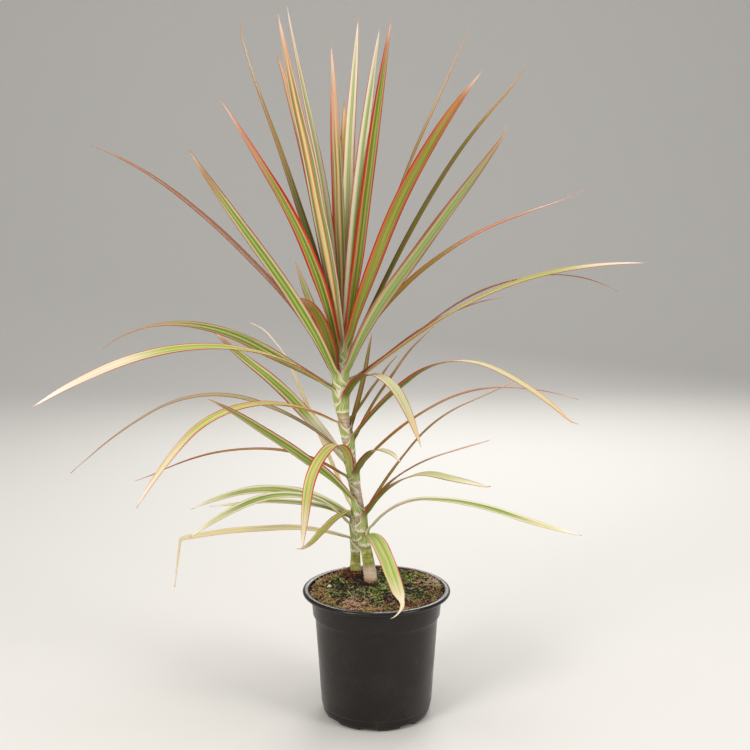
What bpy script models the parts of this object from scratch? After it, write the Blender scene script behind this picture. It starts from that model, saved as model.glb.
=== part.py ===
"""A young madagascar dragon tree with margin-striped leaves, in its round nursery pot.

Two cane stems rise from one root ball. Strap leaves stand round them on a spiral, steep in
the crown and arching over lower down. Every leaf is a thin lens-shaped blade on a line of
three arcs. The origin is the centre of the pot's flat underside, and +Z is up.
"""

import math
from collections import namedtuple

import bmesh
import bpy
from mathutils import Vector

MM = 0.001
GAP = 0.3

# Pot, in millimetres: radii are of the outer side.
POT_HEIGHT = 104
RIM_RADIUS = 60
RIM_DROP = 3.6
RIM_FILLET = (1, 0.6)
COLLAR_TOP = 97
COLLAR_TOP_RADIUS = 53
COLLAR_RADIUS = 51.7
COLLAR_FOOT = 83.5
COLLAR_STEP = 1.5
BODY_TOP_RADIUS = 50
BODY_FOOT_RADIUS = 45.2
FOOT_HEIGHT = 9
FOOT_RADIUS = 40.5
WALL = 1.5
FLOOR = 4
FLOOR_CORNER = 1
INNER_STEP = 3
THROAT = 96
MOUTH_RADIUS = 55.5
MOUTH_BEVEL = 1.5
POT_SEGMENTS = 48
ARC_STEPS = 4
NOTCHES = 8
NOTCH_TURN = 36
NOTCH_WIDTH = 13.5
NOTCH_HEIGHT = 2.5
NOTCH_LENGTH = 14

# Soil, in millimetres: a low mound that the stems stand on.
SOIL_TOP = 107
SOIL_FLAT_RADIUS = 38
SOIL_SHOULDER = 105.4
SOIL_SHOULDER_RADIUS = 44
SOIL_EDGE = 101.5
SOIL_EDGE_RADIUS = 53
SOIL_STEP = 84
SOIL_SEGMENTS = 40

# Stems, in millimetres: each row is x, y, height above the pot's underside, and radius.
STEM_SAMPLES = 26
STEM_FOOT = 1
STEM_SIDES = 3
Stem = namedtuple("Stem", "name rows")
MAIN = Stem(
    "main_stem",
    (
        (-4.5, 8, SOIL_TOP + GAP, 5.6),
        (-7.5, 8, 129, 4.7),
        (-11, 7, 146, 4.6),
        (-14, 7, 167, 4.4),
        (-19.5, 6, 201, 4.2),
        (-25, 5, 236, 4.3),
        (-28, 5, 254, 5.4),
        (-28.5, 5, 270, 6),
        (-28.2, 5, 284, 5.2),
        (-26.5, 5, 303, 3),
        (-25, 5, 330, 0.7),
    ),
)
SECOND = Stem(
    "second_stem",
    (
        (-17.5, 26, SOIL_TOP + GAP, 4.8),
        (-17.5, 24, 122, 4.1),
        (-17, 22, 136, 3.8),
        (-18, 21, 150, 3.2),
        (-19, 20, 166, 0.8),
    ),
)

# Blades: thickness against length, width at the root against the widest, the share of the
# length where a leaf is widest, and how late it tapers.
BLADE_STATIONS = 18
THICKNESS_SHARE = 0.0105
ROOT_SHARE = 0.42
SWELL = 0.3
TAPER = 4.5
TIP_SHARE = 0.05
CURL_START = 0.8
TURN_START = 0.3

# Leaves: height of the root on the stem, heading from +X towards +Y, length, and the slope
# above level at the root, at one third, at two thirds and at the tip. In millimetres and degrees.
# turn rolls the blade about its own line, by one angle near its root and another at its tip,
# curl swings the last fifth round, and a fold breaks the leaf at a share of its length.
Leaf = namedtuple("Leaf", "height heading length slopes width turn curl fold", defaults=(11, (0, 0), 0, ()))
CROWN_LEAVES = (
    Leaf(293, 165, 272, (80, 73, 69, 74), turn=(-16, 10)),
    Leaf(295, 221, 220, (77, 65, 53, 52), 12, turn=(18, -6)),
    Leaf(303, 241, 253, (76, 71, 68, 71), 11.5),
    Leaf(309, 192, 253, (86, 83, 77, 81), turn=(-40, -40)),
    Leaf(298, 135, 248, (81, 76, 70, 64), turn=(-20, -20)),
    Leaf(276, 236, 236, (56, 46, 42, 47), 10.5, turn=(18, 16)),
    Leaf(275, 168, 280, (66, 46, 38, 20), turn=(-6, -6)),
    Leaf(316, 251, 216, (87, 86, 82, 82), 7.5),
    Leaf(312, 112, 196, (84, 86, 82, 79)),
    Leaf(305, 88, 190, (82, 83, 85, 84)),
    Leaf(318, 55, 239, (88, 88, 84, 82)),
    Leaf(311, 306, 233, (80, 82, 77, 75)),
    Leaf(302, 322, 249, (79, 81, 80, 79), turn=(-15, -15)),
    Leaf(299, 48, 227, (78, 79, 79, 79)),
    Leaf(293, 6, 270, (75, 72, 66, 66), turn=(4, 4)),
    Leaf(299, 318, 244, (68, 64, 53, 41), 11.5, turn=(-25, -30)),
    Leaf(290, 15, 276, (63, 63, 54, 43), turn=(4, 4)),
    Leaf(277, 310, 252, (62, 44, 43, 44), 11.5, turn=(-20, -14)),
    Leaf(286, 10, 246, (62, 43, 22, 16), 9, turn=(14, -1)),
    Leaf(285, 130, 98, (50, 56, 57, 60), 6.5, turn=(-40, -40)),
    Leaf(279, 225, 85, (79, 70, 49, -8), 10.5, turn=(30, 30), curl=-40),
)
MIDDLE_LEAVES = (
    Leaf(268, 0, 261, (39, 34, 15, -2), turn=(0, 28)),
    Leaf(272, 15, 258, (32, 36, 9, -27), 6, turn=(-5, 2)),
    Leaf(264, 32, 174, (39, 31, 19, 4), 6, turn=(-14, 2)),
    Leaf(221, 37, 125, (61, 50, 45, 30), 5, turn=(-13, -13)),
    Leaf(238, 40, 72, (50, 47, 44, 40), 5, turn=(-14, -14)),
    Leaf(226, 330, 224, (52, 38, -20, -42), 10, turn=(-12, 24)),
    Leaf(200, 25, 232, (45, 25, -5, -19), 6.5, turn=(-10, 6)),
    Leaf(163, 33, 200, (53, 43, 14, 18), 6, turn=(-21, -8)),
    Leaf(258, 305, 128, (60, 10, -44, -60)),
    Leaf(196, 305, 72, (64, 40, 2, -28), 9),
    Leaf(230, 60, 86, (62, 60, 70, 70), 4.5),
    Leaf(264, 200, 248, (42, 11, -16, -32), turn=(-8, -54)),
    Leaf(266, 170, 210, (28, 28, 0, -38), 12, turn=(-34, 0)),
    Leaf(203, 148, 172, (47, 40, 29, 34), turn=(-30, -30)),
    Leaf(213, 183, 250, (44, 19, -30, -44), 8, turn=(-12, 0)),
    Leaf(174, 224, 173, (48, 35, 34, 28), turn=(25, 25)),
    Leaf(238, 206, 198, (32, 5, -42, -60), 10, turn=(-8, -30)),
    Leaf(192, 165, 200, (34, 2, -18, -30), 7, turn=(0, -8)),
    Leaf(201, 240, 130, (88, -15, -74, -84)),
)
LOWER_LEAVES = (
    Leaf(160, 40, 157, (54, 18, 4, 6), 6, turn=(-24, 0)),
    Leaf(160, 315, 148, (58, 33, 0, -2), 10, turn=(0, 26)),
    Leaf(148, 340, 186, (60, 4, -14, -8), 10, turn=(0, 30)),
    Leaf(146, 294, 100, (22, -32, -46, -20), 13.4, curl=-120),
)
SECOND_STEM_LEAVES = (
    Leaf(163, 137, 200, (56, 58, 56, 10), 5, turn=(10, 10)),
    Leaf(163, 226, 66, (0, -22, -36, 15), 8),
    Leaf(157, 160, 157, (30, 6, -16, -28), turn=(-26, -32)),
    Leaf(155, 178, 120, (31, 7, -5, -7), 8, turn=(-12, -12)),
    Leaf(148, 203, 152, (58, 16, -19, -33), turn=(-12, -24)),
    Leaf(138, 188, 181, (21, 1, -7, -7), 9, turn=(-12, -16), fold=(0.77, 75)),
)


def clear_scene():
    for obj in list(bpy.data.objects):
        bpy.data.objects.remove(obj)


def new_collection(name, parent):
    collection = bpy.data.collections.new(name)
    parent.children.link(collection)
    return collection


def material(name, colour, roughness):
    made = bpy.data.materials.new(name)
    made.use_nodes = True
    shader = made.node_tree.nodes["Principled BSDF"]
    shader.inputs["Base Color"].default_value = (*colour, 1)
    shader.inputs["Roughness"].default_value = roughness
    shader.inputs["Metallic"].default_value = 0
    return made


def turned(name, profile, segments, finish, collection):
    """A turned solid from its profile of (radius, height), which runs down the outer side."""
    mesh = bpy.data.meshes.new(name)
    shape = bmesh.new()
    points = [shape.verts.new((radius * MM, 0, height * MM)) for radius, height in profile]
    for first, second in zip(points, points[1:]):
        shape.edges.new((first, second))
    shape.to_mesh(mesh)
    shape.free()
    obj = bpy.data.objects.new(name, mesh)
    screw = obj.modifiers.new("Turn", "SCREW")
    screw.steps = segments
    screw.render_steps = segments
    screw.use_smooth_shade = True
    screw.use_merge_vertices = True
    screw.merge_threshold = 0.00001
    obj.data.materials.append(finish)
    collection.objects.link(obj)
    return obj


def arc(centre, across, up, start, end):
    """Points on an ellipse's arc, from its half sizes across and up, between two angles in degrees."""
    angles = [math.radians(start + (end - start) * i / ARC_STEPS) for i in range(ARC_STEPS + 1)]
    return [(centre[0] + across * math.cos(a), centre[1] + up * math.sin(a)) for a in angles]


def make_pot(collection, cutters, finish):
    """A thin-walled pot with a rolled rim, a stepped collar and a narrower foot with drain notches."""
    lip = RIM_DROP / 2
    rim = arc((RIM_RADIUS - lip, POT_HEIGHT - lip), lip, lip, 90, -90)
    foot = arc((FOOT_RADIUS, FOOT_HEIGHT), BODY_FOOT_RADIUS - FOOT_RADIUS, FOOT_HEIGHT, 0, -90)
    inner_body = BODY_TOP_RADIUS - WALL
    inner_foot = BODY_FOOT_RADIUS - WALL
    profile = [
        (0, FLOOR),
        (inner_foot - FLOOR_CORNER, FLOOR),
        (inner_foot, FOOT_HEIGHT),
        (inner_body, COLLAR_FOOT - INNER_STEP),
        (COLLAR_RADIUS - WALL, COLLAR_FOOT),
        (COLLAR_TOP_RADIUS - WALL, THROAT),
        (MOUTH_RADIUS - MOUTH_BEVEL, POT_HEIGHT - MOUTH_BEVEL),
        (MOUTH_RADIUS, POT_HEIGHT),
        *rim,
        (COLLAR_TOP_RADIUS + RIM_FILLET[0], POT_HEIGHT - RIM_DROP - RIM_FILLET[1]),
        (COLLAR_TOP_RADIUS, COLLAR_TOP),
        (COLLAR_RADIUS, COLLAR_FOOT),
        (BODY_TOP_RADIUS, COLLAR_FOOT - COLLAR_STEP),
        *foot,
        (0, 0),
    ]
    pot = turned("pot", profile, POT_SEGMENTS, finish, collection)
    size = (NOTCH_LENGTH * MM, NOTCH_WIDTH * MM, 2 * NOTCH_HEIGHT * MM)
    for index in range(NOTCHES):
        turn = math.radians(NOTCH_TURN + 360 * index / NOTCHES)
        place = Vector((math.cos(turn), math.sin(turn), 0)) * FOOT_RADIUS * MM
        bpy.ops.mesh.primitive_cube_add(size=1, location=place, rotation=(0, 0, turn))
        cutter = bpy.context.object
        cutter.name = f"notch_cutter_{index + 1}"
        cutter.scale = size
        cutter.hide_render = True
        cutter.display_type = "WIRE"
        for holder in list(cutter.users_collection):
            holder.objects.unlink(cutter)
        cutters.objects.link(cutter)
        cut = pot.modifiers.new("Notch", "BOOLEAN")
        cut.operation = "DIFFERENCE"
        cut.object = cutter
    return pot


def make_soil(collection, finish):
    """The root ball and soil that fill the pot, clear of its wall, with a low mound on top."""
    inner_body = BODY_TOP_RADIUS - WALL - GAP
    inner_foot = BODY_FOOT_RADIUS - WALL - GAP
    profile = [
        (0, SOIL_TOP),
        (SOIL_FLAT_RADIUS, SOIL_TOP),
        (SOIL_SHOULDER_RADIUS, SOIL_SHOULDER),
        (SOIL_EDGE_RADIUS, SOIL_EDGE),
        (COLLAR_TOP_RADIUS - WALL - GAP, THROAT),
        (COLLAR_RADIUS - WALL - GAP, SOIL_STEP),
        (inner_body, COLLAR_FOOT - INNER_STEP),
        (inner_foot, FOOT_HEIGHT),
        (inner_foot - FLOOR_CORNER, FLOOR + GAP),
        (0, FLOOR + GAP),
    ]
    return turned("soil", profile, SOIL_SEGMENTS, finish, collection)


def smooth_value(rows, column, height):
    """A column of a stem's rows at a height, on a smooth line through the rows (Catmull-Rom)."""
    heights = [row[2] for row in rows]
    last = len(rows) - 1
    low = max(i for i in range(last) if height >= heights[i] or i == 0)
    span = heights[low + 1] - heights[low]
    share = (height - heights[low]) / span
    before = max(low - 1, 0)
    after = min(low + 2, last)
    start_rate = (rows[low + 1][column] - rows[before][column]) / (heights[low + 1] - heights[before])
    end_rate = (rows[after][column] - rows[low][column]) / (heights[after] - heights[low])
    return (
        (2 * share**3 - 3 * share**2 + 1) * rows[low][column]
        + (share**3 - 2 * share**2 + share) * span * start_rate
        + (3 * share**2 - 2 * share**3) * rows[low + 1][column]
        + (share**3 - share**2) * span * end_rate
    )


def stem_at(stem, height):
    """The stem's centre and radius at a height, in millimetres."""
    x, y, radius = (smooth_value(stem.rows, column, height) for column in (0, 1, 3))
    return Vector((x, y, height)), radius


def poly_curve(name, points, radii, finish, collection):
    """A curve object through points in millimetres, with a radius at each."""
    data = bpy.data.curves.new(name, "CURVE")
    data.dimensions = "3D"
    data.use_fill_caps = True
    spline = data.splines.new("POLY")
    spline.points.add(len(points) - 1)
    for point, place, radius in zip(spline.points, points, radii):
        point.co = (*(place * MM), 1)
        point.radius = radius
    data.materials.append(finish)
    obj = bpy.data.objects.new(name, data)
    collection.objects.link(obj)
    return obj


def make_stem(stem, finish, collection):
    """A tapering cane from its flat cut on the soil to its growing point."""
    foot, top = stem.rows[0][2], stem.rows[-1][2]
    heights = [foot + (top - foot) * i / STEM_SAMPLES for i in range(STEM_SAMPLES + 1)]
    places, radii = zip(*(stem_at(stem, height) for height in heights))
    upright = places[0] + Vector((0, 0, STEM_FOOT))
    places = (places[0], upright, *places[1:])
    radii = (radii[0], radii[0], *radii[1:])
    obj = poly_curve(stem.name, places, radii, finish, collection)
    obj.data.bevel_depth = MM
    obj.data.bevel_resolution = STEM_SIDES
    return obj


def blade_section(name, leaf, guides):
    """The lens-shaped cross-section that a leaf is swept with, at its widest."""
    data = bpy.data.curves.new(name, "CURVE")
    data.dimensions = "2D"
    data.fill_mode = "NONE"
    spline = data.splines.new("POLY")
    half_width = leaf.width / 2 * MM
    half_thickness = leaf.length * THICKNESS_SHARE / 2 * MM
    corners = ((half_width, 0), (0, -half_thickness), (-half_width, 0), (0, half_thickness))
    spline.points.add(len(corners) - 1)
    for point, (x, y) in zip(spline.points, corners):
        point.co = (x, y, 0, 1)
    spline.use_cyclic_u = True
    obj = bpy.data.objects.new(name, data)
    obj.hide_render = True
    obj.display_type = "WIRE"
    guides.objects.link(obj)
    return obj


def slope_at(leaf, share):
    """The leaf's slope in degrees at a share of its length: three arcs, one after another."""
    third = min(2, int(3 * share))
    start, end = leaf.slopes[third], leaf.slopes[third + 1]
    slope = start + (end - start) * (3 * share - third)
    if leaf.fold and share > leaf.fold[0]:
        slope -= leaf.fold[1]
    return slope


def centreline(leaf, stem):
    """Points along a leaf in millimetres, from its root just clear of the stem to its tip."""
    place, radius = stem_at(stem, leaf.height)
    heading = math.radians(leaf.heading)
    out = Vector((math.cos(heading), math.sin(heading), 0))
    half_root = ROOT_SHARE * leaf.length * THICKNESS_SHARE / 2
    clear = GAP + half_root * math.sin(math.radians(leaf.slopes[0]))
    points = [place + out * (radius + clear)]
    step = leaf.length / BLADE_STATIONS
    for index in range(BLADE_STATIONS):
        share = (index + 0.5) / BLADE_STATIONS
        slope = math.radians(slope_at(leaf, share))
        curl = math.radians(leaf.curl) * max(0, share - CURL_START) / (1 - CURL_START)
        level = Vector((math.cos(heading + curl), math.sin(heading + curl), 0))
        way = level * math.cos(slope) + Vector((0, 0, math.sin(slope)))
        points.append(points[-1] + way * step)
    return points


def turn_at(leaf, share):
    """How far the blade is rolled about its own line at a share of its length, in degrees."""
    early, late = leaf.turn
    return early * min(1, share / TURN_START) + (late - early) * max(0, share - TURN_START) / (1 - TURN_START)


def width_share(share):
    """How wide the blade is along its length, against its widest."""
    swelling = ROOT_SHARE + (1 - ROOT_SHARE) * min(1, share / SWELL)
    return max(TIP_SHARE, swelling * (1 - share**TAPER))


def make_leaf(name, leaf, stem, finish, collection, guides):
    shares = [i / BLADE_STATIONS for i in range(BLADE_STATIONS + 1)]
    widths = [width_share(share) for share in shares]
    obj = poly_curve(name, centreline(leaf, stem), widths, finish, collection)
    obj.data.twist_mode = "Z_UP"
    obj.data.bevel_mode = "OBJECT"
    obj.data.bevel_object = blade_section(f"{name}_section", leaf, guides)
    for point, share in zip(obj.data.splines[0].points, shares):
        point.tilt = math.radians(turn_at(leaf, share))
    return obj


def main():
    clear_scene()
    scene = bpy.context.scene.collection
    plant = new_collection("madagascar_dragon_tree", scene)
    guides = new_collection("cutters_and_guides", scene)
    black_plastic = material("black_plastic", (0.012, 0.012, 0.013), 0.38)
    dark_soil = material("dark_soil", (0.035, 0.022, 0.012), 0.95)
    cane = material("cane", (0.46, 0.40, 0.28), 0.7)
    striped_leaf = material("striped_leaf", (0.42, 0.46, 0.14), 0.45)
    make_pot(plant, guides, black_plastic)
    make_soil(plant, dark_soil)
    for stem in (MAIN, SECOND):
        make_stem(stem, cane, plant)
    groups = (
        ("crown_leaf", CROWN_LEAVES, MAIN),
        ("middle_leaf", MIDDLE_LEAVES, MAIN),
        ("lower_leaf", LOWER_LEAVES, MAIN),
        ("second_stem_leaf", SECOND_STEM_LEAVES, SECOND),
    )
    for name, leaves, stem in groups:
        for number, leaf in enumerate(leaves, 1):
            make_leaf(f"{name}_{number:02d}", leaf, stem, striped_leaf, plant, guides)


main()
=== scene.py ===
"""The looks of a young dragon tree with margin-striped leaves, in its round nursery pot."""

import math
import random
from bisect import bisect
from collections import namedtuple

import bmesh
import bpy
from mathutils import Matrix, Vector, noise


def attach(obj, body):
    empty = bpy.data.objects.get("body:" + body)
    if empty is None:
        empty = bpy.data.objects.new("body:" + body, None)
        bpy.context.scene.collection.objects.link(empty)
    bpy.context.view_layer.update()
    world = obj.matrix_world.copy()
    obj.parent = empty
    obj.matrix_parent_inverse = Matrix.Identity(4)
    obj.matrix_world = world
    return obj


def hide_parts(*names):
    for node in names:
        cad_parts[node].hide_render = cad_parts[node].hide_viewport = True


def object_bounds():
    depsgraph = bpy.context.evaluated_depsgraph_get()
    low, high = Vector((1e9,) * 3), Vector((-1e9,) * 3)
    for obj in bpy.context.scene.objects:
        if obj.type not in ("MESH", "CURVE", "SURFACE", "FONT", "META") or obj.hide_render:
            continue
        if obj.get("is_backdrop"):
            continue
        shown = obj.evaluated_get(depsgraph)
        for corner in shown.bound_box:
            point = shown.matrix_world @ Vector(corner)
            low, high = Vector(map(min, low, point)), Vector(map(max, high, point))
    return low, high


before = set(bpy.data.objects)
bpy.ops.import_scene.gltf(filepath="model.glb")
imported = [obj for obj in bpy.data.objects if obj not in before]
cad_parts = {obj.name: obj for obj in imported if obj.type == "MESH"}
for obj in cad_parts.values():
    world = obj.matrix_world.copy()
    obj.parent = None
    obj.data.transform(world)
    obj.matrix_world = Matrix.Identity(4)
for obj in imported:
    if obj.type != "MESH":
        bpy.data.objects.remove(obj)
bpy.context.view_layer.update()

# Stage. The plant stands by itself on a plain pale sheet that curves up behind it, lit by wide soft
# lamps in front, overhead and behind. The camera looks slightly down at it, level with its stems.
MM = 0.001
CAMERA_PLACE = (-0.0012, -0.8623, 0.4014)
CAMERA_PITCH = 8.1
CAMERA_LENS = 52.8
FLOOR_SIZE = 8
FLOOR_DROP = 0.0002
SWEEP_START = 1.7
SWEEP_RADIUS = 1.3
SWEEP_STEPS = 24
SWEEP_TOP = 3.4
PAPER = (0.7, 0.69, 0.67)
ROOM_LIGHT = 0.62
LAMP_AIM = (0, 0, 0.28)

camera = bpy.data.objects.new("camera", bpy.data.cameras.new("camera"))
camera.location = CAMERA_PLACE
camera.rotation_euler = (math.radians(90 - CAMERA_PITCH), 0, 0)
camera.data.lens = CAMERA_LENS
camera.data.clip_start = 0.01
bpy.context.scene.collection.objects.link(camera)
bpy.context.scene.camera = camera
bpy.context.scene.view_settings.view_transform = "Standard"


def soft_lamp(name, place, size, watts, colour):
    """A square area lamp that faces the middle of the plant."""
    lamp = bpy.data.objects.new(name, bpy.data.lights.new(name, "AREA"))
    lamp.data.shape = "SQUARE"
    lamp.data.size = size
    lamp.data.energy = watts
    lamp.data.color = colour
    lamp.location = place
    aim = Vector(LAMP_AIM) - Vector(place)
    lamp.rotation_euler = aim.to_track_quat("-Z", "Y").to_euler()
    bpy.context.scene.collection.objects.link(lamp)


soft_lamp("lamp_left", (-1.1, -1.2, 1.0), 0.6, 17, (1.0, 0.97, 0.92))
soft_lamp("lamp_right", (1.3, -0.9, 0.9), 0.6, 11, (1.0, 0.98, 0.94))
soft_lamp("lamp_top", (0.1, -0.1, 1.8), 0.8, 9, (1.0, 0.98, 0.95))
soft_lamp("lamp_back", (0.5, 1.4, 1.1), 0.8, 9, (1.0, 0.98, 0.96))
soft_lamp("lamp_rim", (0.0, 1.3, 0.78), 0.4, 3, (1.0, 0.98, 0.95))

world = bpy.data.worlds.new("studio")
world.use_nodes = True
backdrop = world.node_tree.nodes["Background"]
backdrop.inputs["Color"].default_value = (*PAPER, 1)
backdrop.inputs["Strength"].default_value = ROOM_LIGHT
bpy.context.scene.world = world


def placed(name, shape, finish):
    """A new object in the scene from a bmesh, smooth shaded, with its material."""
    mesh = bpy.data.meshes.new(name)
    shape.to_mesh(mesh)
    shape.free()
    mesh.shade_smooth()
    mesh.materials.append(finish)
    obj = bpy.data.objects.new(name, mesh)
    bpy.context.scene.collection.objects.link(obj)
    return obj


def plain_finish(name, colour, roughness):
    """A material with nothing but its shader, ready for a pattern."""
    made = bpy.data.materials.new(name)
    made.use_nodes = True
    shader = made.node_tree.nodes["Principled BSDF"]
    shader.inputs["Base Color"].default_value = (*colour, 1)
    shader.inputs["Roughness"].default_value = roughness
    return made


half_floor = FLOOR_SIZE / 2
sweep_line = [(-half_floor, 0), (SWEEP_START, 0)]
for step in range(1, SWEEP_STEPS + 1):
    turn = math.radians(90 * step / SWEEP_STEPS)
    sweep_line.append((SWEEP_START + SWEEP_RADIUS * math.sin(turn), SWEEP_RADIUS * (1 - math.cos(turn))))
sweep_line.append((SWEEP_START + SWEEP_RADIUS, SWEEP_TOP))
table = bmesh.new()
rows = [
    [table.verts.new((x, y, z - FLOOR_DROP)) for x in (-half_floor, half_floor)]
    for y, z in sweep_line
]
for (left, right), (next_left, next_right) in zip(rows, rows[1:]):
    table.faces.new((left, right, next_right, next_left))
table_top = placed("table_top", table, plain_finish("pale_table", PAPER, 0.8))
table_top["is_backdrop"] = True

# Pot. A thin-walled nursery pot, injection moulded in black polypropylene: a tapering body, a
# stepped collar, a rolled rim to carry it by, and a narrower foot with eight drain notches.
POT_HEIGHT = 104
RIM_RADIUS = 60
RIM_DROP = 3.6
COLLAR_TOP = 97
COLLAR_TOP_RADIUS = 53
COLLAR_RADIUS = 51.7
COLLAR_FOOT = 83.5
COLLAR_EASE = 3
BODY_TOP_RADIUS = 50
BODY_WAIST = (47.55, 46)
BODY_FOOT_RADIUS = 45.2
FOOT_HEIGHT = 9
FOOT_RADIUS = 40.5
FOOT_RING_RADIUS = 36
HOLLOW_RADIUS = 35
HOLLOW_HEIGHT = 1.8
WALL = 1.5
FLOOR = 4
MOUTH_RADIUS = 55.5
MOUTH_HEIGHT = 101
POT_STEPS = 240
NOTCHES = 8
NOTCH_TURN = 36
NOTCH_HALF_ANGLE = 9.2
NOTCH_HEIGHT = 2.8


def arc(centre, across, up, start, end, steps):
    """Points on an ellipse's arc, from its half sizes across and up, between two angles in degrees."""
    angles = [math.radians(start + (end - start) * i / steps) for i in range(steps + 1)]
    return [(centre[0] + across * math.cos(a), centre[1] + up * math.sin(a)) for a in angles]


def turned(profile, steps):
    """A closed shape turned from a profile of (radius, height) in millimetres."""
    shape = bmesh.new()
    points = [shape.verts.new((radius * MM, 0, height * MM)) for radius, height in profile]
    edges = [shape.edges.new(pair) for pair in zip(points, points[1:])]
    bmesh.ops.spin(
        shape, geom=points + edges, cent=(0, 0, 0), axis=(0, 0, 1),
        angle=2 * math.pi, steps=steps, use_merge=True,
    )
    bmesh.ops.remove_doubles(shape, verts=shape.verts, dist=1e-6)
    bmesh.ops.recalc_face_normals(shape, faces=shape.faces)
    return shape


class Nodes:
    """Adds nodes to a material and joins them: a value, colour, vector or socket fills each input."""

    def __init__(self, finish):
        self.tree = finish.node_tree
        self.shader = self.tree.nodes["Principled BSDF"]

    def add(self, kind, output=0, **inputs):
        node = self.tree.nodes.new(kind)
        for key, value in inputs.items():
            if hasattr(node, key):
                setattr(node, key, value)
                continue
            slot = int(key[1:]) if key[0] == "_" else key.replace("_", " ")
            self.fill(node.inputs[slot], value)
        return node.outputs[output]

    def fill(self, socket, value):
        if isinstance(value, bpy.types.NodeSocket):
            self.tree.links.new(value, socket)
        elif socket.type == "RGBA":
            socket.default_value = (*value, 1)
        else:
            socket.default_value = value

    def place(self, scale=(1, 1, 1), shift=(0, 0, 0)):
        """Object coordinates, scaled and shifted."""
        spot = self.add("ShaderNodeTexCoord", "Object")
        return self.add("ShaderNodeMapping", Vector=spot, Scale=scale, Location=shift)

    def noise(self, spot, scale, detail=4, roughness=0.55):
        return self.add("ShaderNodeTexNoise", Vector=spot, Scale=scale, Detail=detail, Roughness=roughness)

    def maths(self, operation, first, second=0.0, third=0.0):
        return self.add("ShaderNodeMath", operation=operation, _0=first, _1=second, _2=third)

    def span(self, value, low, high, out_low=0.0, out_high=1.0):
        """A smooth step of a value from low to high."""
        node = self.tree.nodes.new("ShaderNodeMapRange")
        node.interpolation_type = "SMOOTHSTEP"
        keys = ("Value", "From Min", "From Max", "To Min", "To Max")
        for key, filler in zip(keys, (value, low, high, out_low, out_high)):
            self.fill(node.inputs[key], filler)
        return node.outputs[0]

    def mix(self, share, first, second):
        node = self.tree.nodes.new("ShaderNodeMix")
        node.data_type = "RGBA"
        self.fill(node.inputs[0], share)
        self.fill(node.inputs[6], first)
        self.fill(node.inputs[7], second)
        return node.outputs[2]

    def ramp(self, value, stops):
        node = self.tree.nodes.new("ShaderNodeValToRGB")
        self.fill(node.inputs[0], value)
        elements = node.color_ramp.elements
        while len(elements) < len(stops):
            elements.new(1)
        for element, (position, colour) in zip(elements, stops):
            element.position = position
            element.color = (*colour, 1)
        return node.outputs[0]

    def bump(self, height, distance, strength=1.0):
        normal = self.add("ShaderNodeBump", Height=height, Distance=distance, Strength=strength)
        self.tree.links.new(normal, self.shader.inputs["Normal"])

    def finish(self, **inputs):
        for key, value in inputs.items():
            self.fill(self.shader.inputs[key.replace("_", " ")], value)


def tint(red, green, blue):
    """A screen colour, 0 to 255 a channel, as the shader's linear one."""
    channels = [value / 255 for value in (red, green, blue)]
    return tuple(((c + 0.055) / 1.055) ** 2.4 if c > 0.04 else c / 12.92 for c in channels)


def black_plastic():
    made = plain_finish("black_plastic", (0.009, 0.008, 0.007), 0.32)
    nodes = Nodes(made)
    streaks = nodes.noise(nodes.place((1, 1, 0.12)), 240, 3)
    cloud = nodes.noise(nodes.place(), 38, 5, 0.6)
    specks = nodes.noise(nodes.place(), 620, 3, 0.7)
    dust = nodes.maths("MULTIPLY", nodes.span(specks, 0.6, 0.72), nodes.span(cloud, 0.42, 0.7))
    film = nodes.maths("MULTIPLY", nodes.span(cloud, 0.4, 0.72), 0.35)
    body = nodes.mix(film, tint(21, 15, 12), tint(44, 35, 28))
    nodes.finish(
        Base_Color=nodes.mix(dust, body, tint(84, 80, 74)),
        Roughness=nodes.span(cloud, 0.3, 0.75, 0.2, 0.36),
        Specular_IOR_Level=0.34,
    )
    nodes.bump(nodes.maths("ADD", streaks, specks), 0.00006, 0.5)
    return made


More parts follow.
